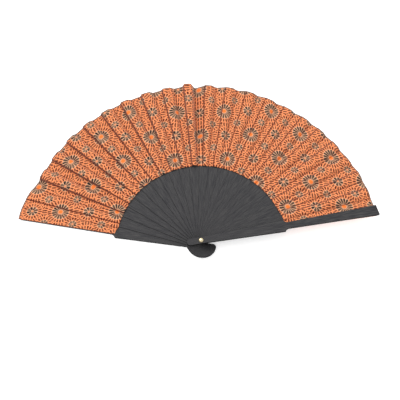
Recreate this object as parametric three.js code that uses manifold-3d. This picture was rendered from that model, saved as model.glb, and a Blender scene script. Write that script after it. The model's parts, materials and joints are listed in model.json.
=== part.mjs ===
// A folding hand fan with a pleated cloth leaf, lying open.
//
// Millimetres, +Z up. The origin is on the rivet's axis, in the plane that the back of the fan rests on.
// The rear guard lies lowest and points to the left. Each stick above it is turned a little further
// clockwise, up to the front guard on top, which points to the right.
//
// Every stick, guard and panel of the leaf keeps to a layer of its own, so the whole fan folds by turning
// about the rivet alone.

import * as THREE from 'three';
import { mergeVertices } from 'three/addons/utils/BufferGeometryUtils.js';
import Module from 'manifold-3d';

const wasm = await Module();
wasm.setup();

// How the fan is spread.
const GAPS = 22; // spaces between neighbouring sticks, the two guards included
const REAR_ANGLE = 170; // degrees from +X to the rear guard
const SPREAD = 160; // degrees between the guards
const FIRST_GAP = 8.0; // degrees between the rear guard and the first stick

// Layers.
const GUARD_THICK = 2.6;
const BLADE_THICK = 0.62; // an inner stick between the head and the leaf
const RIB_THICK = 0.34; // the same stick under the leaf
const CLOTH_THICK = 0.22;
const SLIP = 0.06; // air between neighbouring layers
const CLOTH_LIFT = 0.04; // air between the leaf and what it lies on
const LAYER = BLADE_THICK + SLIP;
const RECESS = 2 * (CLOTH_LIFT + CLOTH_THICK + CLOTH_LIFT); // room for two layers of cloth on the rear guard
const FRONT_RECESS = RECESS / 2; // room for one layer under the front guard

// Outline of a stick, from its rounded head past the rivet to the leaf.
const HEAD_REACH = { front: 17.2, other: 18.4 }; // from the rivet to the end of the head
const HEAD_HALF = 4.25;
const WAIST_HALF = 4.0; // half width beside the rivet
const SHOULDER_AT = { front: 100.7, other: 102.5 }; // where the wide blade ends
const SHOULDER_HALF = 7.2;
const SHOULDER_ROUND = 1.2;
const SHOULDER_LONG = 5; // from there to the start of the narrow part

// The narrow part that carries the leaf.
const GUARD_BEVEL = 0.35;
const FRONT = {
  head: HEAD_REACH.front, shoulder: SHOULDER_AT.front, reach: 215,
  slant: 0.7, neck: 4.1, tip: 6.6, corner: 1.1,
};
const REAR = {
  head: HEAD_REACH.other, shoulder: SHOULDER_AT.other, reach: 217, slant: 0, neck: 3.4, tip: 3.1, corner: 1.1,
};
const RIB = { ...REAR, reach: 208, neck: 2.9, tip: 2.2, corner: 0.8 };

// The leaf.
const LEAF_INNER = 100.2;
const LEAF_OUTER = 212;
const LONG_END = 7.7; // how much further the leaf reaches at the rear guard
const SHORT_SIDE = 1.7; // how much less it reaches on the right
const REAR_OVERHANG = 2.95; // from the middle of the rear guard to the leaf's straight end
const HALF_FOLD = 1.82; // degrees, half the width of one half pleat
const ARC_STEPS = 3; // straight steps across one pleat

// The rivet.
const PIN_R = 1.4;
const HOLE_R = 1.5;
const PIN_SIDES = 24;
const RIVET_HEAD_R = 2.9;
const RIVET_HEAD_HIGH = 1.6;
const TAIL_R = 2.3;
const TAIL_THICK = 0.45;
const WASHER_R = 2.9;
const WASHER_THICK = 0.35;
const COUNTERBORE_R = 3.2;
const COUNTERBORE_DEEP = 0.9;
const PLAY = 0.05; // air above and below the washer, and under the rivet's head

const STAINED_WOOD = { color: 0x4a4a4c, roughness: 0.5, metalness: 0 };
const PRINTED_COTTON = { color: 0xc98058, roughness: 0.9, metalness: 0 };
const BRASS = { color: 0xc9a35a, roughness: 0.25, metalness: 1 };

const rad = THREE.MathUtils.degToRad;
const group = new THREE.Group();

// Degrees from the rear guard to the stick of that number. The gaps narrow evenly towards the front guard.
function turned(stick) {
  const narrowing = (GAPS * FIRST_GAP - SPREAD) / ((GAPS * (GAPS - 1)) / 2);
  return stick * FIRST_GAP - (narrowing * stick * (stick - 1)) / 2;
}

function stickAngle(stick) {
  return REAR_ANGLE - turned(stick);
}

// Height of the underside of a stick above the rest plane. Number 0 is the rear guard.
function stickLevel(stick) {
  return stick === 0 ? 0 : GUARD_THICK + SLIP + (stick - 1) * LAYER;
}

function addPiece(name, geometry, finish, angle = 0, level = 0) {
  const mesh = new THREE.Mesh(geometry, new THREE.MeshStandardMaterial(finish));
  mesh.name = name;
  mesh.rotation.z = rad(angle);
  mesh.position.z = level;
  group.add(mesh);
}

function toSolid(geometry) {
  const bare = geometry.clone();
  bare.deleteAttribute('normal');
  bare.deleteAttribute('uv');
  const merged = mergeVertices(bare, 1e-5);
  const vertProperties = new Float32Array(merged.attributes.position.array);
  const triVerts = new Uint32Array(merged.index.array);
  return new wasm.Manifold(new wasm.Mesh({ numProp: 3, vertProperties, triVerts }));
}

function toGeometry(solid) {
  const mesh = solid.getMesh();
  const geometry = new THREE.BufferGeometry();
  geometry.setAttribute('position', new THREE.BufferAttribute(mesh.vertProperties, 3));
  geometry.setIndex(new THREE.BufferAttribute(mesh.triVerts, 1));
  return geometry;
}

// A block over the narrow part of a stick, from one height to another.
function blockOverLeafPart(low, high) {
  const start = LEAF_INNER - 1;
  const long = REAR.reach + 5 - start;
  const block = new THREE.BoxGeometry(long, 4 * SHOULDER_HALF, high - low);
  block.translate(start + long / 2, 0, (low + high) / 2);
  return toSolid(block);
}

// One side of the outline beyond the rivet. side is -1 on the way out and 1 on the way back. Each step is a
// point to draw to, and a corner to round on the way there.
function narrowSide(shape, side, { shoulder, reach, slant, neck, tip, corner }) {
  const end = reach - side * slant;
  const from = shoulder + SHOULDER_ROUND / 2;
  const points = [
    [shoulder - SHOULDER_ROUND, SHOULDER_HALF],
    [from, SHOULDER_HALF - SHOULDER_ROUND, shoulder, SHOULDER_HALF],
    [shoulder + SHOULDER_LONG, neck, shoulder + SHOULDER_LONG - 3, neck],
    [end - corner, tip],
    [end, tip - corner, end, tip],
  ];
  if (side < 0) {
    points.forEach(([x, y, cornerX, cornerY]) => {
      if (cornerX === undefined) shape.lineTo(x, -y);
      else shape.quadraticCurveTo(cornerX, -cornerY, x, -y);
    });
    return;
  }
  shape.lineTo(end, tip - corner);
  for (let at = points.length - 1; at > 0; at -= 1) {
    const [, , cornerX, cornerY] = points[at];
    const [x, y] = points[at - 1];
    if (cornerX === undefined) shape.lineTo(x, y);
    else shape.quadraticCurveTo(cornerX, cornerY, x, y);
  }
}

// The outline of a stick that points along +X, with the rivet's hole at the origin.
function stickOutline(stick) {
  const shape = new THREE.Shape();
  const headCentre = HEAD_HALF - stick.head;
  shape.moveTo(headCentre, -HEAD_HALF);
  shape.lineTo(0, -WAIST_HALF);
  narrowSide(shape, -1, stick);
  narrowSide(shape, 1, stick);
  shape.lineTo(0, WAIST_HALF);
  shape.lineTo(headCentre, HEAD_HALF);
  shape.absarc(headCentre, 0, HEAD_HALF, Math.PI / 2, (3 * Math.PI) / 2, false);
  const hole = new THREE.Path();
  hole.absarc(0, 0, HOLE_R, 0, 2 * Math.PI, true);
  shape.holes.push(hole);
  return shape;
}

function guardBlank(guard) {
  const blank = new THREE.ExtrudeGeometry(stickOutline(guard), {
    depth: GUARD_THICK - 2 * GUARD_BEVEL,
    bevelThickness: GUARD_BEVEL,
    bevelSize: GUARD_BEVEL,
    bevelOffset: -GUARD_BEVEL,
    bevelSegments: 2,
    curveSegments: 8,
  });
  blank.translate(0, 0, GUARD_BEVEL);
  return toSolid(blank);
}

function frontGuard() {
  return toGeometry(guardBlank(FRONT).subtract(blockOverLeafPart(-1, FRONT_RECESS)));
}

function rearGuard() {
  const high = 2 * COUNTERBORE_DEEP;
  const counterbore = new THREE.CylinderGeometry(COUNTERBORE_R, COUNTERBORE_R, high, PIN_SIDES);
  counterbore.rotateX(Math.PI / 2);
  return toGeometry(guardBlank(REAR)
    .subtract(blockOverLeafPart(GUARD_THICK - RECESS, GUARD_THICK + 1))
    .subtract(toSolid(counterbore)));
}

function innerStick() {
  const blank = new THREE.ExtrudeGeometry(stickOutline(RIB), {
    depth: BLADE_THICK,
    bevelEnabled: false,
    curveSegments: 6,
  });
  return toGeometry(toSolid(blank).subtract(blockOverLeafPart(RIB_THICK, BLADE_THICK + 1)));
}

// The inner and outer radius of the leaf at an angle in degrees, with the fan spread.
function leafEdges(angle) {
  const { smoothstep, clamp } = THREE.MathUtils;
  const long = LONG_END * Math.sin((Math.PI / 2) * clamp((angle - 157) / 14, 0, 1));
  const short = SHORT_SIDE * (smoothstep(angle, 25, 31) - smoothstep(angle, 58, 74));
  const inward = 3 * smoothstep(angle, 165, 172) + 1.5 * (1 - smoothstep(angle, 15, 24));
  return { inner: LEAF_INNER + inward, outer: LEAF_OUTER + long - short };
}

// A flat panel of the leaf round a middle angle. right and left give its sides from there, as degrees at
// the inner and at the outer edge.
function leafPanel(middle, right, left) {
  const shape = new THREE.Shape();
  const at = (edge, step) => {
    const turn = THREE.MathUtils.lerp(right[edge], left[edge], step / ARC_STEPS);
    const radius = leafEdges(middle + turn)[edge];
    return [radius * Math.cos(rad(turn)), radius * Math.sin(rad(turn))];
  };
  shape.moveTo(...at('inner', 0));
  for (let step = 0; step <= ARC_STEPS; step += 1) shape.lineTo(...at('outer', step));
  for (let step = ARC_STEPS; step > 0; step -= 1) shape.lineTo(...at('inner', step));
  return new THREE.ExtrudeGeometry(shape, { depth: CLOTH_THICK, bevelEnabled: false });
}

function rivet(headLevel) {
  const outline = [
    [0, 0], [TAIL_R, 0], [TAIL_R, TAIL_THICK / 2], [TAIL_R - TAIL_THICK / 2, TAIL_THICK],
    [PIN_R, TAIL_THICK], [PIN_R, headLevel], [RIVET_HEAD_R, headLevel],
  ].map(([r, z]) => new THREE.Vector2(r, z));
  const domeSteps = 6;
  for (let step = 1; step <= domeSteps; step += 1) {
    const angle = (step / domeSteps) * (Math.PI / 2);
    const r = step === domeSteps ? 0 : RIVET_HEAD_R * Math.cos(angle);
    outline.push(new THREE.Vector2(r, headLevel + RIVET_HEAD_HIGH * Math.sin(angle)));
  }
  const solid = new THREE.LatheGeometry(outline, PIN_SIDES);
  solid.rotateX(Math.PI / 2);
  return solid;
}

function washer(level) {
  const outline = [
    [HOLE_R, level], [WASHER_R, level], [WASHER_R, level + WASHER_THICK], [HOLE_R, level + WASHER_THICK],
    [HOLE_R, level],
  ].map(([r, z]) => new THREE.Vector2(r, z));
  const solid = new THREE.LatheGeometry(outline, PIN_SIDES);
  solid.rotateX(Math.PI / 2);
  return solid;
}

const two = (number) => String(number).padStart(2, '0');
const frontLevel = stickLevel(GAPS);

addPiece('rear_guard', rearGuard(), STAINED_WOOD, stickAngle(0));
const stick = innerStick();
for (let number = 1; number < GAPS; number += 1) {
  addPiece(`stick_${two(number)}`, stick, STAINED_WOOD, stickAngle(number), stickLevel(number));
}
addPiece('front_guard', frontGuard(), STAINED_WOOD, stickAngle(GAPS), frontLevel);

// The leaf: one cloth, as one panel for each pleat, and its two ends glued to the guards.
const both = (degrees) => ({ inner: degrees, outer: degrees });
const rearCloth = GUARD_THICK - RECESS + CLOTH_LIFT;
const edges = leafEdges(REAR_ANGLE);
const rearSide = {
  inner: THREE.MathUtils.radToDeg(Math.asin(REAR_OVERHANG / edges.inner)),
  outer: THREE.MathUtils.radToDeg(Math.asin(REAR_OVERHANG / edges.outer)),
};
const rearEnd = leafPanel(stickAngle(0), both(-HALF_FOLD), rearSide);
addPiece('leaf_end_rear', rearEnd, PRINTED_COTTON, stickAngle(0), rearCloth);
for (let pleat = 1; pleat <= GAPS; pleat += 1) {
  const middle = (stickAngle(pleat - 1) + stickAngle(pleat)) / 2;
  const half = (turned(pleat) - turned(pleat - 1)) / 2;
  const level = pleat === 1
    ? rearCloth + CLOTH_THICK + 2 * CLOTH_LIFT
    : stickLevel(pleat - 1) + RIB_THICK + CLOTH_LIFT;
  const left = both(pleat === 1 ? half - HALF_FOLD : half);
  const right = both(pleat === GAPS ? HALF_FOLD - half : -half);
  addPiece(`leaf_pleat_${two(pleat)}`, leafPanel(middle, right, left), PRINTED_COTTON, middle, level);
}
const frontEnd = leafPanel(stickAngle(GAPS), both(-HALF_FOLD), both(HALF_FOLD));
addPiece('leaf_end_front', frontEnd, PRINTED_COTTON, stickAngle(GAPS), frontLevel + CLOTH_LIFT);

addPiece('rivet', rivet(frontLevel + GUARD_THICK + PLAY), BRASS);
addPiece('rear_washer', washer(TAIL_THICK + PLAY), BRASS);

export default group;
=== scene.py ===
"""A folding hand fan with a pleated, printed cotton leaf, lying open on a pale floor.

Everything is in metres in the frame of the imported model. The rivet's axis is the Z axis and the back of
the fan rests on the plane z = 0. The rear guard is the lowest stick and points to the left, and each stick
above it is turned a little further clockwise, up to the front guard on top.

The leaf is one cloth. Half of each pleat is glued to a stick and rides with it, and the other half is
free, crosses to the next stick, and rides half way between the two.
"""

from __future__ import annotations

import json
import logging
import math
import random
from dataclasses import dataclass, field
from enum import Enum
from typing import Sequence, Union

import bmesh
import bpy
from mathutils import Matrix, Vector

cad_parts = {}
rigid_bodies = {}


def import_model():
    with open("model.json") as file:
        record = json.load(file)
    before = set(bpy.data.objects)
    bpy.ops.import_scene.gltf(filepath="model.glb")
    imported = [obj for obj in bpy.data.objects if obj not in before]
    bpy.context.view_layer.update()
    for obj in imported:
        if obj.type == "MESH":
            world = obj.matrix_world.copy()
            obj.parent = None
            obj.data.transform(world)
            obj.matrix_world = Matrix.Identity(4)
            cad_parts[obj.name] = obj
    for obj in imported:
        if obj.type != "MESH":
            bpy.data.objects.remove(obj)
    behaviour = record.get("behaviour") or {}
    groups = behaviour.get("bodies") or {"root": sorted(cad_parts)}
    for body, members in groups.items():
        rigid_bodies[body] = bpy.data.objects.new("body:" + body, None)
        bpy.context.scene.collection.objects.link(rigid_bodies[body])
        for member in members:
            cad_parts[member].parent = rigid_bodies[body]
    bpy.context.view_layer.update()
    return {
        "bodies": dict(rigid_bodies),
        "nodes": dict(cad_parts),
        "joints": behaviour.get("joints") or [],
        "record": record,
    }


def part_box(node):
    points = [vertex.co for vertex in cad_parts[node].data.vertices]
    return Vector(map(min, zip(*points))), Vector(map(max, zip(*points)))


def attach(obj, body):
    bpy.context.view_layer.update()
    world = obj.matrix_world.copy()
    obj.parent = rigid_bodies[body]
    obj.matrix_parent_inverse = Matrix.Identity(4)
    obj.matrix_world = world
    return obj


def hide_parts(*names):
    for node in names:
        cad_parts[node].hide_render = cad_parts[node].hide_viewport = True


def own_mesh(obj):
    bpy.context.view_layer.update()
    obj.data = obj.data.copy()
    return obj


log = logging.getLogger("fan")

MM = 0.001
PRINT_REPEAT = 33.2  # mm from one crossing of the print's lattice to the next
MERGE = 0.002 * MM  # corners closer than this are one

Link = Union[bpy.types.NodeSocket, float, Sequence[float]]


def linear(hex_colour: str) -> tuple[float, float, float, float]:
    """Turns an sRGB colour to the linear one that the shaders use.

    Args:
        hex_colour: six hex digits after a hash sign.

    Returns:
        Linear red, green and blue, and an alpha of one.
    """
    parts = [int(hex_colour[at : at + 2], 16) / 255 for at in (1, 3, 5)]
    red, green, blue = (p / 12.92 if p <= 0.04045 else ((p + 0.055) / 1.055) ** 2.4 for p in parts)
    return (red, green, blue, 1.0)


def smooth(low: float, high: float, value: float) -> float:
    """Rises smoothly from 0 at low to 1 at high.

    Args:
        low: where the rise starts.
        high: where the rise ends.
        value: where it is asked for.

    Returns:
        A share from 0 to 1.
    """
    share = min(max((value - low) / (high - low), 0.0), 1.0)
    return share * share * (3 - 2 * share)


def add(tree: bpy.types.NodeTree, kind: str, *links: Link, **settings: object) -> bpy.types.NodeSocket:
    """Adds one node with its settings and links.

    Args:
        tree: the node tree to add to.
        kind: the node's type, without the words ShaderNode in front.
        links: for each input in use, in order, a socket to link or a value to set; None leaves it alone.
        settings: properties of the node, set before the inputs are looked up.

    Returns:
        The node's first output in use. The node itself is its .node.
    """
    made = tree.nodes.new("ShaderNode" + kind)
    for name, value in settings.items():
        setattr(made, name, value)
    for socket, link in zip([s for s in made.inputs if s.enabled], links):
        if isinstance(link, bpy.types.NodeSocket):
            tree.links.new(link, socket)
        elif link is not None:
            socket.default_value = link
    return next(s for s in made.outputs if s.enabled)


def new_material(name: str) -> tuple[bpy.types.Material, bpy.types.NodeTree, bpy.types.Node]:
    """Starts a material with a plain shader.

    Args:
        name: the finish's name.

    Returns:
        The material, its node tree and its shader node.
    """
    material = bpy.data.materials.new(name)
    material.use_nodes = True
    tree = material.node_tree
    return material, tree, tree.nodes["Principled BSDF"]


def new_piece(name: str, shape: bmesh.types.BMesh, finish: bpy.types.Material) -> bpy.types.Object:
    """Makes an object from a finished shape and frees the shape.

    Args:
        name: the piece's name.
        shape: its mesh, already in place.
        finish: its material.

    Returns:
        The object, at the origin.
    """
    mesh = bpy.data.meshes.new(name)
    shape.to_mesh(mesh)
    shape.free()
    mesh.materials.append(finish)
    for face in mesh.polygons:
        face.use_smooth = True
    piece = bpy.data.objects.new(name, mesh)
    bpy.context.scene.collection.objects.link(piece)
    return piece


def merged_copy(node: bpy.types.Object) -> bmesh.types.BMesh:
    """Copies a frame node's loose triangles as one closed shape with flat faces.

    Args:
        node: the frame's node.

    Returns:
        The shape, in metres.
    """
    shape = bmesh.new()
    shape.from_mesh(node.data)
    bmesh.ops.remove_doubles(shape, verts=shape.verts, dist=MERGE)
    bmesh.ops.dissolve_limit(shape, angle_limit=math.radians(0.5), verts=shape.verts, edges=shape.edges)
    return shape


@dataclass(frozen=True)
class StainedWood:
    """Hardwood stained near black and rubbed to a satin: straight fine grain, a soft broad gloss."""

    stain: str = "#2E2E31"
    bare: str = "#474646"
    # Painted shade: the near black put on the sides and rounded edges of the sticks, for the shade that
    # falls on them.
    side_shade: str = "#060606"
    cell_across: float = 0.18  # mm across a stick, one cell of the grain's noise
    cell_along: float = 9.0  # mm along it
    cell_deep: float = 0.08  # mm through its thickness
    true_reach: float = 110.0  # mm from the rivet, where the cells are as wide as given
    level_face: tuple[float, float] = (0.8, 0.98)  # how level a face is where the painted shade on the sides is full, and where it is gone; 1 is quite level
    roughness: tuple[float, float] = (0.49, 0.37)  # in the grain's hollows and on its lines
    specular: float = 0.06
    bump: float = 0.12  # how much of the bump's depth shows
    bump_deep: float = 0.2  # mm

    def build(self) -> bpy.types.Material:
        """Makes the wood, with its grain running out from the rivet along every stick.

        Returns:
            The material.
        """
        material, tree, shader = new_material("stained_wood")
        place = add(tree, "TexCoord").node.outputs["Object"]
        axes = add(tree, "SeparateXYZ", place).node.outputs
        angle = add(tree, "Math", axes[1], axes[0], operation="ARCTAN2")
        reach = add(tree, "VectorMath", place, operation="LENGTH").node.outputs["Value"]
        # The grain runs along the reach. Across a stick it is spaced by the angle, at half the fan's reach.
        along = add(tree, "Math", reach, 1 / (self.cell_along * MM), operation="MULTIPLY")
        across = add(tree, "Math", angle, self.true_reach / self.cell_across, operation="MULTIPLY")
        level = add(tree, "Math", axes[2], 1 / (self.cell_deep * MM), operation="MULTIPLY")
        laid = add(tree, "CombineXYZ", across, along, level)
        # Scale, detail, roughness, lacunarity. Both have a second layer that is coarser and stronger.
        lines = add(tree, "TexNoise", laid, 1.0, 1.0, 3.0, 0.6, noise_dimensions="3D")
        fibres = add(tree, "TexNoise", laid, 1.0, 0.17, 2.0, 0.5, noise_dimensions="3D")
        mixed = add(tree, "Math", lines, fibres, operation="MULTIPLY")
        # The product of two noises round 0.5 lies round 0.25.
        tone = add(tree, "MapRange", mixed, 0.16, 0.36, 0.0, 1.0)
        stain_and_shade = add(tree, "Mix", tone, linear(self.stain), linear(self.bare), data_type="RGBA")
        # Painted shade: faces far from level, the sides and rounded edges of each stick, are painted near
        # black for the shade that falls on them.
        upright = add(tree, "SeparateXYZ", add(tree, "TexCoord").node.outputs["Normal"]).node.outputs[2]
        flat = add(tree, "Math", upright, operation="ABSOLUTE")
        level_face = add(tree, "MapRange", flat, *self.level_face, 0.0, 1.0)
        stain_and_shade = add(tree, "Mix", level_face, linear(self.side_shade), stain_and_shade, data_type="RGBA")
        tree.links.new(stain_and_shade, shader.inputs["Base Color"])
        gloss = add(tree, "MapRange", lines, 0.3, 0.7, *self.roughness)
        tree.links.new(gloss, shader.inputs["Roughness"])
        bump = add(tree, "Bump", self.bump, self.bump_deep * MM, None, lines)
        tree.links.new(bump, shader.inputs["Normal"])
        shader.inputs["Specular IOR Level"].default_value = self.specular
        return material


@dataclass(frozen=True)
class RivetBrass:
    """Turned brass: a warm pale yellow metal, with painted shade darkening it near the rim."""

    colour: str = "#E4D8B4"
    rim_shade: str = "#5E4418"
    roughness: float = 0.19
    bright: float = 1.9  # mm from the axis, inside which the painted shade is at its weakest
    rim: float = 2.8  # mm from the axis, where the painted shade is at its strongest
    shade_share: tuple[float, float] = (0.175, 0.875)  # the painted shade's share, inside bright and at the rim

    def build(self) -> bpy.types.Material:
        """Makes the brass.

        Returns:
            The material.
        """
        material, tree, shader = new_material("rivet_brass")
        place = add(tree, "TexCoord").node.outputs["Object"]
        # Painted shade: a dark ring near the rim of the head, for the shade round it.
        flat = add(tree, "VectorMath", place, (1.0, 1.0, 0.0), operation="MULTIPLY")
        reach = add(tree, "VectorMath", flat, operation="LENGTH").node.outputs["Value"]
        shade_share = add(tree, "MapRange", reach, self.bright * MM, self.rim * MM, *self.shade_share)
        tone = add(tree, "Mix", shade_share, linear(self.colour), linear(self.rim_shade), data_type="RGBA")
        tree.links.new(tone, shader.inputs["Base Color"])
        shader.inputs["Metallic"].default_value = 1.0
        shader.inputs["Roughness"].default_value = self.roughness
        return material


class Bloom(Enum):
    """The three flowers of the print, by the lattice places that they stand on."""

    BIG = "on every second crossing"
    SMALL = "on the crossings between"
    TINY = "in the middle of each square"


@dataclass(frozen=True)
class Flower:
    """One printed flower: a heart, a ring of petals, and fainter rings of dashes round it. Sizes in mm."""

    bloom: Bloom
    heart: float  # radius of the disc in the middle
    petals: int
    petals_end: float  # radius where the petals end
    petal_half: float  # half a petal's width
    ring: float  # from one ring of dashes to the next
    spacing: float  # from one dash to the next along a ring
    weight: float  # how far the flower claims the cloth round it


@dataclass(frozen=True)
class PrintedCotton:
    """Plain-weave cotton, screen printed with flowers of dark petals on orange: matt, faintly fuzzy."""

    repeat: float = PRINT_REPEAT
    dash_half: float = 1.0  # mm, half a dash's width
    dash_long: float = 0.44  # half a dash's length, as a share of its ring's width
    heart_gap: float = 0.3  # mm, from a heart to its petals
    petal_gap: float = 0.1  # mm, from the petals to their ring's end
    heart_edge: tuple[float, float] = (-0.2, 0.3)  # mm inside its radius, how soft a heart's edge is
    ink_edge: tuple[float, float] = (0.92, 1.1)  # how soft the ink's edge is, 1 is the edge itself
    faintest: float = 0.8  # the ink in the faintest petal or dash, as a share
    halo: tuple[float, float] = (1.1, 1.9)  # where the pale rim round the ink fades, 1 is the ink's edge
    halo_share: float = 0.8  # how strong it is
    fray: float = 1.4  # mm, how far the ink's edge wanders, over the noise's whole range
    fray_cell: float = 0.2  # mm, one cell of that noise
    dye_cell: float = 0.2  # mm, one cell of the noise between the two oranges, a thread's width
    edge_band: tuple[float, float] = (1.0, 1.6)  # mm from the outer edge, where the greyish band ends
    edge_share: float = 0.85  # how much of the band's colour shows
    fold_shade: tuple[float, float] = (0.9, 1.35)  # how dark the painted shade along the glued folds is, and mm to where that ends
    valley_shade: tuple[float, float] = (0.7, 1.2)  # the same painted shade for the folds of the free halves
    wave_scale: float = 1 / 1.2  # the threads of the weave are then 0.38 mm apart
    bump: float = 0.15  # how much of the weave's depth shows
    bump_deep: float = 0.2  # mm
    roughness: float = 0.85
    specular: float = 0.25
    sheen: float = 0.12
    light: str = "#F0A472"
    cream: str = "#DDB793"
    ground: str = "#EC7C40"
    deep: str = "#DC551A"
    heart: str = "#E67430"
    petal: str = "#1C1412"
    dash: str = "#561A05"
    edge_grey: str = "#6A564B"
    # Painted shade for the creases of the folds.
    crease_shade: str = "#561405"
    flowers: tuple[Flower, ...] = (
        Flower(Bloom.BIG, 2.6, 16, 10.4, 1.0, 5.0, 3.1, 15.0),
        Flower(Bloom.SMALL, 0.8, 8, 6.6, 1.15, 4.8, 3.1, 10.0),
        Flower(Bloom.TINY, 0.7, 7, 5.0, 1.05, 4.6, 3.0, 9.0),
    )

    def centred(
        self, tree: bpy.types.NodeTree, spot: bpy.types.NodeSocket, bloom: Bloom
    ) -> bpy.types.NodeSocket:
        """Measures from the nearest flower of one kind.

        Args:
            tree: the material's node tree.
            spot: the place on the flat print, in mm.
            bloom: the kind of flower.

        Returns:
            A vector in mm from that flower's middle.
        """
        unit = add(tree, "VectorMath", spot, (1 / self.repeat,) * 3, operation="MULTIPLY")
        if bloom is Bloom.TINY:
            part = add(tree, "VectorMath", unit, operation="FRACTION")
            away = add(tree, "VectorMath", part, (0.5, 0.5, 0.0), operation="SUBTRACT")
            return add(tree, "VectorMath", away, (self.repeat, self.repeat, 0.0), operation="MULTIPLY")
        # On the diagonals, flowers of one kind stand two steps apart.
        shift = 0.0 if bloom is Bloom.BIG else 0.5
        axes = add(tree, "SeparateXYZ", unit).node.outputs
        diagonals = []
        for way in ("ADD", "SUBTRACT"):
            whole = add(tree, "Math", axes[0], axes[1], operation=way)
            step = add(tree, "Math", whole, 0.5, shift, operation="MULTIPLY_ADD")
            part = add(tree, "Math", step, operation="FRACT")
            diagonals.append(add(tree, "Math", part, 2.0, -1.0, operation="MULTIPLY_ADD"))
        half = self.repeat / 2
        across = add(tree, "Math", diagonals[0], diagonals[1], operation="ADD")
        upward = add(tree, "Math", diagonals[0], diagonals[1], operation="SUBTRACT")
        offset = add(tree, "CombineXYZ", across, upward, 0.0)
        return add(tree, "VectorMath", offset, (half, half, 0.0), operation="MULTIPLY")

    def petals_of(
        self, tree: bpy.types.NodeTree, flower: Flower, offset: bpy.types.NodeSocket
    ) -> tuple[bpy.types.NodeSocket, bpy.types.NodeSocket, bpy.types.NodeSocket, bpy.types.NodeSocket]:
        """Draws one kind of flower round its middle.

        Args:
            tree: the material's node tree.
            flower: the flower to draw.
            offset: the vector from its middle, in mm.

        Returns:
            The distance from the middle in mm, how far a point is from the nearest petal or dash where 1 is
            its edge, the ring's number, and a random share for that petal.
        """
        away = add(tree, "VectorMath", offset, operation="LENGTH").node.outputs["Value"]
        axes = add(tree, "SeparateXYZ", offset).node.outputs
        angle = add(tree, "Math", axes[1], axes[0], operation="ARCTAN2")
        past = add(tree, "Math", away, flower.petals_end, operation="SUBTRACT")
        steps = add(tree, "Math", past, flower.ring, operation="DIVIDE")
        floor = add(tree, "Math", steps, operation="FLOOR")
        lifted = add(tree, "Math", floor, 1.0, operation="ADD")
        ring = add(tree, "Math", lifted, 0.0, operation="MAXIMUM")
        outer = add(tree, "Math", ring, 0.5, operation="GREATER_THAN")
        # The middle of the ring, half its length, and how many petals or dashes go round it.
        starts, ends = flower.heart + self.heart_gap, flower.petals_end - self.petal_gap
        before = flower.petals_end - flower.ring / 2
        beyond = add(tree, "Math", ring, flower.ring, before, operation="MULTIPLY_ADD")
        middle = add(tree, "Mix", outer, (starts + ends) / 2, beyond)
        half = add(tree, "Mix", outer, (ends - starts) / 2, flower.ring * self.dash_long)
        round_it = add(tree, "Math", middle, 2 * math.pi / flower.spacing, operation="MULTIPLY")
        whole = add(tree, "Math", round_it, operation="ROUND")
        count = add(tree, "Mix", outer, float(flower.petals), whole)
        turn = add(tree, "Math", angle, 1 / (2 * math.pi), operation="MULTIPLY")
        stagger = add(tree, "Math", ring, 0.5, operation="MULTIPLY")
        petal = add(tree, "Math", turn, count, stagger, operation="MULTIPLY_ADD")
        part = add(tree, "Math", petal, operation="FRACT")
        number = add(tree, "Math", petal, operation="FLOOR")
        aside = add(tree, "Math", part, 0.5, operation="SUBTRACT")
        arc = add(tree, "Math", middle, 2 * math.pi, operation="MULTIPLY")
        wide = add(tree, "Math", arc, count, operation="DIVIDE")
        sideways = add(tree, "Math", aside, wide, operation="MULTIPLY")
        petal_half = add(tree, "Mix", outer, flower.petal_half, self.dash_half)
        sideways = add(tree, "Math", sideways, petal_half, operation="DIVIDE")
        lengthways = add(tree, "Math", away, middle, operation="SUBTRACT")
        lengthways = add(tree, "Math", lengthways, half, operation="DIVIDE")
        # Squared once here and once more in the length below, which makes the ends blunt.
        blunt = add(tree, "Math", lengthways, lengthways, operation="MULTIPLY")
        shape = add(tree, "CombineXYZ", sideways, blunt, 0.0)
        edge = add(tree, "VectorMath", shape, operation="LENGTH").node.outputs["Value"]
        tag = add(tree, "CombineXYZ", number, ring, flower.weight)
        chance = add(tree, "TexWhiteNoise", tag, noise_dimensions="3D")
        return away, edge, ring, chance

    def build(self) -> bpy.types.Material:
        """Makes the printed cloth.

        Returns:
            The material.
        """
        material, tree, shader = new_material("printed_cotton")
        spot = add(tree, "Attribute", attribute_name="print").node.outputs["Vector"]
        place = add(tree, "Attribute", attribute_name="place").node.outputs["Vector"]
        # The ink's edges are a little frayed. Scale, detail, roughness, lacunarity.
        bleed = add(tree, "TexNoise", spot, 1 / self.fray_cell, 0.11, 2.0, 0.5, noise_dimensions="3D")
        drift = add(tree, "VectorMath", bleed.node.outputs["Color"], (0.5, 0.5, 0.5), operation="SUBTRACT")
        moved = add(tree, "VectorMath", drift, (self.fray, self.fray, 0.0), spot, operation="MULTIPLY_ADD")
        nearest = edge = ring = chance = inside = None
        for flower in self.flowers:
            offset = self.centred(tree, moved, flower.bloom)
            far, its_edge, its_ring, its_chance = self.petals_of(tree, flower, offset)
            claim = add(tree, "Math", far, flower.weight, operation="DIVIDE")
            heart = add(tree, "Math", flower.heart, far, operation="SUBTRACT")
            if nearest is None:
                nearest, edge, ring, chance, inside = claim, its_edge, its_ring, its_chance, heart
                continue
            wins = add(tree, "Math", claim, nearest, operation="LESS_THAN")
            nearest = add(tree, "Math", claim, nearest, operation="MINIMUM")
            edge = add(tree, "Mix", wins, edge, its_edge)
            ring = add(tree, "Mix", wins, ring, its_ring)
            chance = add(tree, "Mix", wins, chance, its_chance)
            inside = add(tree, "Mix", wins, inside, heart)
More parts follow.
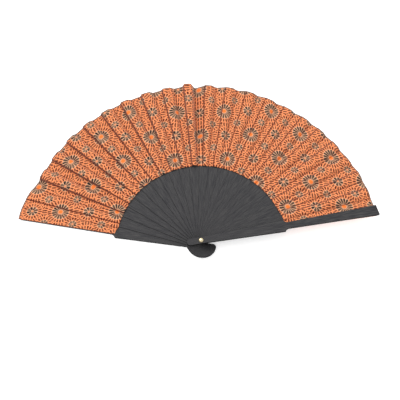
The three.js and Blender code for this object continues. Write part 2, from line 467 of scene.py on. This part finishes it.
        # Each thread has taken a little more or less of the dye.
        dye = add(tree, "TexNoise", spot, 1 / self.dye_cell, 0.09, 3.0, 0.6)
        taken = add(tree, "MapRange", dye, 0.35, 0.65, 0.0, 1.0)
        cloth = add(tree, "Mix", taken, linear(self.ground), linear(self.deep), data_type="RGBA")
        halo = add(
            tree, "MapRange", edge, *self.halo, self.halo_share, 0.0, interpolation_type="SMOOTHSTEP"
        )
        # The petals leave a paler, greyer rim of cloth than the dashes do.
        first_ring = add(tree, "Math", ring, 0.5, operation="LESS_THAN")
        pale = add(tree, "Mix", first_ring, linear(self.light), linear(self.cream), data_type="RGBA")
        cloth = add(tree, "Mix", halo, cloth, pale, data_type="RGBA")
        in_heart = add(tree, "MapRange", inside, *self.heart_edge, 0.0, 1.0)
        cloth = add(tree, "Mix", in_heart, cloth, linear(self.heart), data_type="RGBA")
        ink = add(tree, "Mix", first_ring, linear(self.dash), linear(self.petal), data_type="RGBA")
        inked = add(tree, "MapRange", edge, *self.ink_edge, 1.0, 0.0)
        strength = add(tree, "MapRange", chance, 0.0, 1.0, self.faintest, 1.0)
        inked = add(tree, "Math", inked, strength, operation="MULTIPLY")
        colour = add(tree, "Mix", inked, cloth, ink, data_type="RGBA")
        # The outer edge is greyish brown for about its last mm and a half.
        parts = add(tree, "SeparateXYZ", place).node.outputs
        rim = add(tree, "MapRange", parts[0], *self.edge_band, self.edge_share, 0.0)
        colour = add(tree, "Mix", rim, colour, linear(self.edge_grey), data_type="RGBA")
        # Painted shade: the cloth is darkened along the glued folds and the free halves' own folds, for the
        # shade that gathers in the creases.
        for away, (dark, reach) in ((parts[1], self.fold_shade), (parts[2], self.valley_shade)):
            painted_crease_shade = add(tree, "MapRange", away, 0.0, reach, dark, 0.0, interpolation_type="SMOOTHSTEP")
            colour = add(tree, "Mix", painted_crease_shade, colour, linear(self.crease_shade), data_type="RGBA")
        tree.links.new(colour, shader.inputs["Base Color"])
        # Two sets of threads. Scale, distortion, detail, and the detail's scale and roughness.
        wave = (self.wave_scale, 1.5, 2.0, 1.0, 0.5)
        threads = [
            add(tree, "TexWave", spot, *wave, wave_type="BANDS", bands_direction=way).node.outputs["Fac"]
            for way in ("X", "Y")
        ]
        crossed = add(tree, "Math", *threads, operation="ADD")
        bump = add(tree, "Bump", self.bump, self.bump_deep * MM, None, crossed)
        tree.links.new(bump, shader.inputs["Normal"])
        shader.inputs["Roughness"].default_value = self.roughness
        shader.inputs["Specular IOR Level"].default_value = self.specular
        shader.inputs["Sheen Weight"].default_value = self.sheen
        return material


@dataclass(frozen=True)
class Layout:
    """Where the sticks of the frame point and how high each lies. Index 0 is the rear guard."""

    angles: tuple[float, ...]  # radians from +X
    cloth: tuple[float, ...]  # metres, the underside of the leaf over each stick

    @classmethod
    def read(cls, frame: dict) -> Layout:
        """Works the layout out from the frame.


        Returns:
            The layout.
        """
        rear_angle, spread, gaps = 170.0, 160.0, 22
        shares = {c["joint"]: c["ratio"] for c in frame["record"]["behaviour"]["couplings"]}
        turned = [0.0] + [spread * shares[f"stick_{k:02d}_fold"] for k in range(1, gaps)] + [spread]
        names = ["leaf_end_rear"] + [f"leaf_pleat_{k + 1:02d}" for k in range(1, gaps)] + ["leaf_end_front"]
        return cls(
            angles=tuple(math.radians(rear_angle - t) for t in turned),
            cloth=tuple(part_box(name)[0][2] for name in names),
        )


@dataclass(frozen=True)
class Outline:
    """The leaf's inner and outer edge. Lengths in mm, angles in degrees from +X."""

    inner: float = 100.2
    outer: float = 212.0
    left_more: float = 7.7  # how much further out the leaf reaches at its left end
    left_from: float = 157.0  # the angle where it starts to reach further
    left_turn: float = 14.0  # how much further round it has done so
    right_less: float = 1.7  # how much less far it reaches on the right
    right_begins: tuple[float, float] = (25.0, 31.0)  # the angles between which that begins
    right_stops: tuple[float, float] = (58.0, 74.0)  # and stops
    left_inset: float = 3.0  # how much further out the leaf begins at its left end
    left_blend: tuple[float, float] = (165.0, 172.0)
    right_inset: float = 1.5  # and at its right end
    right_blend: tuple[float, float] = (15.0, 24.0)

    @property
    def long(self) -> float:
        """From the inner to the outer edge, away from both ends, in metres."""
        return (self.outer - self.inner) * MM

    def edges(self, angle: float) -> tuple[float, float]:
        """The inner and the outer radius of the cloth.

        Args:
            angle: degrees from +X.

        Returns:
            Both in mm.
        """
        grown = min(max((angle - self.left_from) / self.left_turn, 0.0), 1.0)
        more = self.left_more * math.sin(math.pi / 2 * grown)
        less = self.right_less * (smooth(*self.right_begins, angle) - smooth(*self.right_stops, angle))
        inset = self.left_inset * smooth(*self.left_blend, angle)
        inset += self.right_inset * (1 - smooth(*self.right_blend, angle))
        return self.inner + inset, self.outer + more - less


@dataclass(frozen=True)
class PrintLay:
    """How the flat print lies on the open, pleated leaf. Lengths in mm."""

    crossing_x: float = 2.5  # a crossing of the lattice
    crossing_y: float = 43.0
    step_x: float = 33.9  # the lattice as it looks on the pleated leaf
    step_y: float = 32.9
    narrowing: float = 0.033  # how much step_x loses for each mm up
    narrowing_from: float = 44.0  # the height where step_x is as given

    def flat(self, x: float, y: float) -> Vector:
        """Where a place on the open fan lies on the flat print.

        Args:
            x: how far right of the rivet it is, in mm.
            y: how far beyond the rivet it is, in mm.

        Returns:
            Its place on the print, in mm.
        """
        # Pleated, the print looks narrower towards the top, where the folds are deepest.
        step_x = self.step_x - self.narrowing * (y - self.narrowing_from)
        across, upward = x - self.crossing_x, y - self.crossing_y
        return Vector((across * PRINT_REPEAT / step_x, upward * PRINT_REPEAT / self.step_y, 0.0))


@dataclass
class Folds:
    """How high the leaf's folds stand above the stack of sticks at the outer edge. Heights in mm.

    A place across the leaf is a stick's number and a share of that stick's period.
    """

    last: int  # the front guard's number
    ridge: float = 2.6  # a usual ridge on the left
    ridge_less: float = 1.6  # how much lower the ridges on the right are
    deep: dict[int, float] = field(default_factory=lambda: {1: 1.6, 2: 3.8, 10: 7.5})  # ridges of their own
    tallest: int = 10  # the stick with the tallest ridge
    dip: float = 2.4  # how far a free half hangs below the stack
    tallest_dip: float = 5.5
    climb: float = 3.4  # how far a free half climbs again before the next fold, at the top of the fan
    climb_less: float = 0.45  # how much less on the right, as a share
    tallest_climb: float = 3.0  # how much more beside the tallest ridge
    lean: float = 0.12  # how much of its height a ridge loses as it leans, as a share
    lean_to: float = 0.4  # the share of a period where it has lost that
    drop: tuple[float, float] = (0.34, 0.6)  # the shares between which the cloth goes down from a ridge
    rise_from: float = 0.6  # the share where the free half starts to climb
    cliff: float = 0.045  # half the width of the steep climb to a ridge, as a share of a period
    uneven: float = 0.03  # how far a fold may lie from its usual share
    seed: int = 11
    tops: list[float] = field(default_factory=list)  # the ridge over each stick
    climbs: list[float] = field(default_factory=list)
    shifts: list[float] = field(default_factory=list)  # small differences between the folds, as shares

    def __post_init__(self) -> None:
        """Gives each ridge its own height: tall on the left and at the top, shallow on the right."""
        chance = random.Random(self.seed)
        for stick in range(self.last + 1):
            # The blends below are shares of the way from the rear guard to the front one.
            along = stick / self.last
            usual = self.ridge - self.ridge_less * smooth(0.45, 0.7, along)
            height = self.deep.get(stick, usual * chance.uniform(0.85, 1.15))
            self.tops.append(0.0 if stick in (0, self.last) else height)
            right = 1 - self.climb_less * smooth(0.6, 0.8, along)
            self.climbs.append(self.climb * smooth(0.3, 0.45, along) * right)
            self.shifts.append(chance.uniform(-self.uneven, self.uneven))

    def sag(self, stick: int, share: float) -> float:
        """The height of the free half above the stack.

        Args:
            stick: the stick whose period it is.
            share: 0 at the period's left fold, 1 at its right one.

        Returns:
            Millimetres.
        """
        tallest = stick == self.tallest
        low = -(self.tallest_dip if tallest else self.dip)
        climb = self.climbs[stick] + (self.tallest_climb if tallest else 0.0)
        low *= smooth(0, 2, stick) * (1 - 0.5 * smooth(0.85, 1.0, stick / self.last))
        risen = (share - self.rise_from) / (1 - self.rise_from)
        return low + climb * min(max(risen, 0.0), 1.2)

    def lift(self, stick: int, share: float) -> float:
        """The height of the cloth above the stack of sticks.

        Args:
            stick: the stick whose period it is.
            share: 0 at the period's left fold, 1 at its right one.

        Returns:
            Millimetres.
        """
        shift = self.shifts[stick]
        ridge = self.tops[stick] * (1 - self.lean * min(share, self.lean_to) / self.lean_to)
        down = smooth(self.drop[0] + shift, self.drop[1] + shift, share)
        height = ridge + (self.sag(stick, share) - ridge) * down
        if share < self.cliff and stick:
            before = self.sag(stick - 1, share + 1)
            height = before + (height - before) * smooth(-self.cliff, self.cliff, share)
        if share > 1 - self.cliff:
            height += (self.tops[stick + 1] - height) * smooth(1 - self.cliff, 1 + self.cliff, share)
        return height


@dataclass
class Leaf:
    """The pleated cloth, from the rear guard to the front guard.

    Each period runs from the fold on the left of one stick to the fold on the left of the next. Its first
    half is glued to the stick and stands up as a flat ridge, and its second half is free, sags, and climbs
    steeply to the next ridge.
    """

    layout: Layout
    folds: Folds
    finish: bpy.types.Material
    outline: Outline = Outline()
    lay: PrintLay = PrintLay()
    overhang: float = 2.95  # mm from the middle of the rear guard to the straight end of the cloth
    half_fold: float = 1.82  # degrees, half the width of the part that is glued to a stick
    thick: float = 0.13  # mm
    kept: float = 0.002  # of the height of the folds, in the closed fan
    free_above: float = 0.15  # mm, how far the free halves lie above the glued ones in the closed fan
    sag_grows: tuple[float, float] = (0.02, 0.5)  # shares of the way out between which the sag grows
    lip: float = 0.35  # mm, how far the inner edge stands up from the sticks
    lip_ends: float = 0.12  # the share of the way out where that ends
    tucked: float = 7.4  # mm from the front guard's middle, where the cloth goes flat at the inner edge
    tucked_less: float = 3.4  # mm less further out
    tuck_slope: float = 0.55
    valley: float = 0.58  # the share of a period where a free half's own fold usually lies
    rows: int = 56  # steps from the inner to the outer edge
    columns: int = 14  # steps across half a period
    run_steps: int = 28  # steps across a period, where its length along the cloth is measured
    width_steps: int = 20  # steps across half a period, where its flat width is measured
    far: float = 5.0  # mm, said of a place that is nowhere near a fold
    runs: dict[tuple[int, float], list[float]] = field(default_factory=dict)

    @property
    def last(self) -> int:
        """The front guard's number."""
        return self.folds.last

    def fold(self, stick: int) -> float:
        """The angle of the fold on the left of a stick, in degrees."""
        return math.degrees(self.layout.angles[stick]) + self.half_fold

    def surface(self, stick: int, share: float, out: float) -> Vector:
        """A point on the underside of the cloth.

        Args:
            stick: the stick whose period it is.
            share: 0 at the period's left fold, 1 at its right one.
            out: 0 at the inner edge, 1 at the outer one.

        Returns:
            The point, in mm.
        """
        left, right = self.fold(stick), self.fold(stick + 1)
        angle = left + (right - left) * share
        inner, outer = self.outline.edges(angle)
        reach = inner + (outer - inner) * out
        if stick == 0:
            # The straight end of the cloth runs along the guard, not along a radius.
            end = math.degrees(self.layout.angles[0] + math.asin(self.overhang / reach))
            angle = end + (right - end) * share
        low, high = self.layout.cloth[stick] / MM, self.layout.cloth[stick + 1] / MM
        lift = self.folds.lift(stick, share)
        rises = max(lift, 0.0) * reach / outer + min(lift, 0.0) * smooth(*self.sag_grows, out)
        height = low + (high - low) * share + rises + self.lip * (1 - smooth(0.0, self.lip_ends, out))
        if stick == self.last - 1:
            # The cloth goes in flat under the front guard.
            aside = math.radians(angle) * reach - self.layout.angles[self.last] * reach
            beyond = aside - self.tucked + self.tucked_less * smooth(0.0, 0.1, out)
            height = min(height, high + self.tuck_slope * max(beyond, 0.0))
        turn = math.radians(angle)
        return Vector((reach * math.cos(turn), reach * math.sin(turn), height))

    def run(self, stick: int, share: float, out: float) -> float:
        """How far along the cloth a point is between its two folds.

        Args:
            stick: the stick whose period it is.
            share: 0 at the period's left fold, 1 at its right one.
            out: 0 at the inner edge, 1 at the outer one.

        Returns:
            A share from 0 to 1.
        """
        steps = self.run_steps
        if (stick, out) not in self.runs:
            points = [self.surface(stick, step / steps, out) for step in range(steps + 1)]
            lengths = [0.0]
            for before, after in zip(points, points[1:]):
                lengths.append(lengths[-1] + (after - before).length)
            self.runs[(stick, out)] = [length / lengths[-1] for length in lengths]
        lengths = self.runs[(stick, out)]
        low = min(int(share * steps), steps - 1)
        return lengths[low] + (lengths[low + 1] - lengths[low]) * (share * steps - low)

    def printed(self, stick: int, share: float, out: float) -> Vector:
        """Where a point of the cloth lies on the flat print.

        Args:
            stick: the stick whose period it is.
            share: 0 at the period's left fold, 1 at its right one.
            out: 0 at the inner edge, 1 at the outer one.

        Returns:
            Its place in mm.
        """
        left, right = self.fold(stick), self.fold(stick + 1)
        angle = left + (right - left) * self.run(stick, share, out)
        inner, outer = self.outline.edges(angle)
        reach = inner + (outer - inner) * out
        return self.lay.flat(reach * math.cos(math.radians(angle)), reach * math.sin(math.radians(angle)))

    def half(self, name: str, stick: int, start: float, end: float) -> tuple[bpy.types.Object, float, float]:
        """Makes one half of a period.

        Args:
            name: the piece's name.
            stick: the stick whose period it is.
            start: the share of the period where the half starts.
            end: the share where it ends.

        Returns:
            The piece, its flat width at the outer edge in metres, and its flat area in square metres.
        """
        shape = bmesh.new()
        bmesh.ops.create_grid(shape, x_segments=self.columns, y_segments=self.rows, size=0.5)
        printed = shape.verts.layers.float_vector.new("print")
        place = shape.verts.layers.float_vector.new("place")
        across = self.fold(stick) - self.fold(stick + 1)
        for vert in shape.verts:
            share = start + (end - start) * (vert.co.x + 0.5)
            # Rounded, so that a whole row looks up one measured run.
            out = round(vert.co.y + 0.5, 6)
            point = self.surface(stick, share, out)
            reach = math.hypot(point.x, point.y)
            inner, outer = self.outline.edges(math.degrees(math.atan2(point.y, point.x)))
            to_fold = min(share, 1 - share) * math.radians(across) * reach
            to_valley = abs(share - self.valley - self.folds.shifts[stick]) * math.radians(across) * reach
            vert[printed] = self.printed(stick, share, out)
            # mm to the outer edge, to the nearer fold of the period and to the free half's own fold; the
            # cloth's material paints its grey edge band and its crease shade from these.
            vert[place] = Vector(((outer - inner) * (1 - out), to_fold, to_valley))
            vert.co = point * MM
        if sum(face.normal.z for face in shape.faces) < 0:
            bmesh.ops.reverse_faces(shape, faces=shape.faces)
        shape.normal_update()
        area = sum(face.calc_area() for face in shape.faces)
        piece = new_piece(name, shape, self.finish)
        wall = piece.modifiers.new("cloth", "SOLIDIFY")
        wall.thickness = self.thick * MM
        wall.offset = 1.0
        shares = [start + (end - start) * step / self.width_steps for step in range(self.width_steps + 1)]
        points = [self.surface(stick, share, 1.0) for share in shares]
        width = sum((after - before).length for before, after in zip(points, points[1:])) * MM
        return piece, width, area

    def settle(
        self, piece: bpy.types.Object, body: str, size: tuple[float, float], level: float, *nodes: str
    ) -> None:
        """Puts half a period on its body and hides the frame's nodes that it stands for.

        Args:
            piece: the half.
            body: the body that it rides on.
            size: not used.
            level: not used.
            nodes: the frame's nodes that it stands for, if any.
        """
        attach(piece, body)
        if nodes:
            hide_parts(*nodes)
        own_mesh(piece)

    def front_end(self, node: bpy.types.Object) -> None:
        """Makes the end of the cloth that is glued flat under the front guard.

        Args:
            node: the frame's node for it, whose shape is kept.
        """
        shape = merged_copy(node)
        printed = shape.verts.layers.float_vector.new("print")
        place = shape.verts.layers.float_vector.new("place")
        for vert in shape.verts:
            reach = vert.co.xy.length / MM
            vert[printed] = self.lay.flat(vert.co.x / MM, vert.co.y / MM)
            # Far from any fold, so no crease shade is painted here.
            vert[place] = Vector((self.outline.outer - reach, self.far, self.far))
        area = sum(face.calc_area() for face in shape.faces if face.normal.z > 0.9)
        piece = new_piece("leaf_glued_front", shape, self.finish)
        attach(piece, "front_guard")
        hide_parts("leaf_end_front")
        log.info("front end of the leaf: glued")

    def build(self, frame: dict) -> int:
        """Makes all the halves.


        Returns:
            How many there are.
        """
        self.front_end(frame["nodes"]["leaf_end_front"])
        count = 1
        for stick in range(self.last):
            level = self.layout.cloth[stick]
            body = f"stick_{stick:02d}" if stick else "rear_guard"
            middle = 2 * self.half_fold / (self.fold(stick) - self.fold(stick + 1))
            piece, width, area = self.half(f"leaf_glued_{stick:02d}", stick, 0.0, middle)
            self.settle(piece, body, (width, area), level, *([] if stick else ["leaf_end_rear"]))
            number = f"{stick + 1:02d}"
            piece, width, area = self.half(f"leaf_free_{number}", stick, middle, 1.0)
            level += self.free_above * MM
            self.settle(piece, f"pleat_{number}", (width, area), level, f"leaf_pleat_{number}")
            log.info("pleat %s: glued and free halves", number)
            count += 2
        return count


@dataclass
class Sticks:
    """The two guards and the thin sticks between them, with their sharp edges taken off."""

    finish: bpy.types.Material
    neck: float = 108.0  # mm from the rivet, where the narrow rib under the leaf has begun
    blade_round: float = 0.28  # mm, taken off the edges of a blade
    rib_round: float = 0.1  # mm, off the thin ribs
    guard_round: float = 0.6  # mm, off those edges of the guards that the frame leaves sharp
    side: float = 0.3  # how level a sawn side is at most, 1 is quite level
    broad: float = 0.9  # how level a broad face is at least

    def rims(self, shape: bmesh.types.BMesh, ribs: bool) -> list[bmesh.types.BMEdge]:
        """Finds the edges where a broad face meets a sawn side.

        Args:
            shape: one stick, in metres.
            ribs: whether to look past the neck, or before it.

        Returns:
            The edges.
        """
        found = []
        for edge in shape.edges:
            level = sorted(abs(face.normal.z) for face in edge.link_faces)
            far = max(vert.co.xy.length for vert in edge.verts) > self.neck * MM
            if len(level) == 2 and level[0] < self.side and level[1] > self.broad and far == ribs:
                found.append(edge)
        return found

    def smooth_stick(self, name: str, node: bpy.types.Object) -> None:
        """Makes one stick with rounded edges in place of the frame's sharp one.

        Args:
            name: the stick's name, which is its body's too.
            node: the frame's node for it.
        """
        shape = merged_copy(node)
        guard = name.endswith("_guard")
        for ribs in (False, True):
            shape.normal_update()
            taken = self.guard_round if guard else self.rib_round if ribs else self.blade_round
            bmesh.ops.bevel(
                shape, geom=self.rims(shape, ribs), offset=taken * MM, segments=2, profile=0.5,
                affect="EDGES", material=-1, clamp_overlap=True,
            )
        stick = new_piece(f"{name}_wood", shape, self.finish)
        stick.data.shade_flat()
        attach(stick, name)
        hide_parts(name)

    def build(self, frame: dict) -> int:
        """Makes every stick.


        Returns:
            How many there are.
        """
        count = 0
        for name, node in list(frame["nodes"].items()):
            if name.startswith("stick_") or name.endswith("_guard"):
                self.smooth_stick(name, node)
                log.info("%s: edges rounded and stained", name)
                count += 1
        return count


@dataclass
class Rivet:
    """The brass rivet and the washer under its peened end."""

    finish: bpy.types.Material
    head: float = 2.9  # mm, the dome's radius
    dome: float = 1.6  # mm, how far the head stands above the front guard
    pin: float = 1.4  # mm, the pin's radius
    foot: float = 2.3  # mm, the peened end's radius
    foot_thick: float = 0.45
    head_edge: float = 0.1  # mm, taken off the head's lower edge
    foot_edge: tuple[float, float] = (0.15, 0.12)  # mm, across and up, taken off the foot's lower edge
    foot_lean: float = 0.25  # mm, how much narrower the foot is on top
    steps: int = 12  # in the dome's profile
    sides: int = 64

    def profile(self, bottom: float, top: float) -> list[tuple[float, float]]:
        """The turned outline, from the foot's middle to the top of the dome.

        Args:
            bottom: the height of the foot's underside, in mm.
            top: the height of the dome's top, in mm.

        Returns:
            Radii and heights in mm.
        """
        under = top - self.dome
        across, up = self.foot_edge
        foot_top = bottom + self.foot_thick
        outline = [(0.0, bottom), (self.foot - across, bottom), (self.foot, bottom + up)]
        outline += [(self.foot - self.foot_lean, foot_top), (self.pin, foot_top)]
        outline += [(self.pin, under), (self.head - self.head_edge, under)]
        for step in range(self.steps + 1):
            turn = math.pi / 2 * step / self.steps
            height = under + self.head_edge + (self.dome - self.head_edge) * math.sin(turn)
            outline.append((self.head * math.cos(turn), height))
        return outline

    def build(self, frame: dict) -> None:
        """Turns a smooth rivet in place of the frame's plain one, and gives the washer its brass.
        """
        (_, _, bottom), (_, _, top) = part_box("rivet")
        shape = bmesh.new()
        corners = [shape.verts.new((r * MM, 0, z * MM)) for r, z in self.profile(bottom / MM, top / MM)]
        sides = [shape.edges.new(pair) for pair in zip(corners, corners[1:])]
        bmesh.ops.spin(
            shape, geom=corners + sides, cent=(0, 0, 0), axis=(0, 0, 1), angle=2 * math.pi,
            steps=self.sides, use_merge=True,
        )
        bmesh.ops.remove_doubles(shape, verts=shape.verts, dist=MERGE)
        bmesh.ops.recalc_face_normals(shape, faces=shape.faces)
        turned = new_piece("rivet_turned", shape, self.finish)
        turned.data.set_sharp_from_angle(angle=math.radians(35))
        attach(turned, "rear_guard")
        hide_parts("rivet")
        log.info("rivet: turned")
        washer = frame["nodes"]["rear_washer"]
        washer.data.materials.clear()
        washer.data.materials.append(self.finish)
        log.info("rear_washer: brass")


@dataclass
class Studio:
    """The camera, the pale floor and the soft light."""

    azimuth: float = -5.124  # degrees, as are the next two
    elevation: float = 66.753
    roll: float = 4.380
    away: float = 1.2  # metres from the camera to the place that it looks at
    aim: tuple[float, float, float] = (0.363 * MM, 59.435 * MM, 0.0)
    lens: float = 89.16  # mm, on a sensor 36 mm wide
    floor_half: float = 6.0  # metres
    floor_drop: float = 0.2  # mm below the fan
    floor_glow: float = 0.4
    key_place: tuple[float, float, float] = (-0.5, 0.9, 1.5)
    key_size: float = 1.3  # metres along a side
    key_power: float = 16.0  # watts
    key_aim: tuple[float, float, float] = (0.0, 0.08, 0.0)
    room_glow: float = 1.1

    def camera(self) -> None:
        """Stands the camera above the fan's front edge, turned a little about its own axis."""
        azimuth, elevation, roll = (math.radians(a) for a in (self.azimuth, self.elevation, self.roll))
        flat = math.cos(elevation)
        back = Vector((math.sin(azimuth) * flat, -math.cos(azimuth) * flat, math.sin(elevation)))
        level = (-back).cross(Vector((0, 0, 1))).normalized()
        upward = level.cross(-back)
        right = level * math.cos(roll) + upward * math.sin(roll)
        up = upward * math.cos(roll) - level * math.sin(roll)
        view = bpy.data.cameras.new("camera")
        view.lens = self.lens
        view.sensor_width = 36.0
        camera = bpy.data.objects.new("camera", view)
        turn = Matrix((right, up, back)).transposed().to_4x4()
        camera.matrix_world = Matrix.Translation(Vector(self.aim) + back * self.away) @ turn
        bpy.context.scene.collection.objects.link(camera)
        bpy.context.scene.camera = camera

    def floor(self) -> None:
        """Lays a plain pale floor under the fan."""
        shape = bmesh.new()
        bmesh.ops.create_grid(shape, x_segments=1, y_segments=1, size=self.floor_half)
        bmesh.ops.translate(shape, verts=shape.verts, vec=(0, 0, -self.floor_drop * MM))
        material, _, shader = new_material("pale_floor")
        shader.inputs["Base Color"].default_value = linear("#FAFAFA")
        shader.inputs["Roughness"].default_value = 0.9
        shader.inputs["Specular IOR Level"].default_value = 0.0
        # Lit from below like a light table, which takes most of the shadow away.
        shader.inputs["Emission Color"].default_value = linear("#FFFFFF")
        shader.inputs["Emission Strength"].default_value = self.floor_glow
        new_piece("floor", shape, material)

    def lights(self) -> None:
        """Hangs a large square light at the upper left and lets a white room fill the shadows."""
        light = bpy.data.lights.new("key", "AREA")
        light.size = self.key_size
        light.energy = self.key_power
        lamp = bpy.data.objects.new("key", light)
        place = Vector(self.key_place)
        towards = Vector(self.key_aim) - place
        turn = towards.to_track_quat("-Z", "Y").to_matrix().to_4x4()
        lamp.matrix_world = Matrix.Translation(place) @ turn
        bpy.context.scene.collection.objects.link(lamp)
        world = bpy.data.worlds.new("room")
        bpy.context.scene.world = world
        world.use_nodes = True
        room = world.node_tree.nodes["Background"]
        room.inputs["Color"].default_value = (1, 1, 1, 1)
        room.inputs["Strength"].default_value = self.room_glow
        bpy.context.scene.view_settings.view_transform = "Standard"

    def build(self) -> None:
        """Sets the whole studio up."""
        self.camera()
        self.floor()
        self.lights()


def main() -> None:
    """Builds the fan round its frame, in order."""
    logging.basicConfig(level=logging.INFO, format="%(message)s")
    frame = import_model()
    Studio().build()
    layout = Layout.read(frame)
    wood = StainedWood().build()
    brass = RivetBrass().build()
    cotton = PrintedCotton().build()
    log.info("sticks: %d", Sticks(wood).build(frame))
    Rivet(brass).build(frame)
    folds = Folds(last=len(layout.angles) - 1)
    log.info("pieces of the leaf: %d", Leaf(layout, folds, cotton).build(frame))


if __name__ == "__main__":
    main()
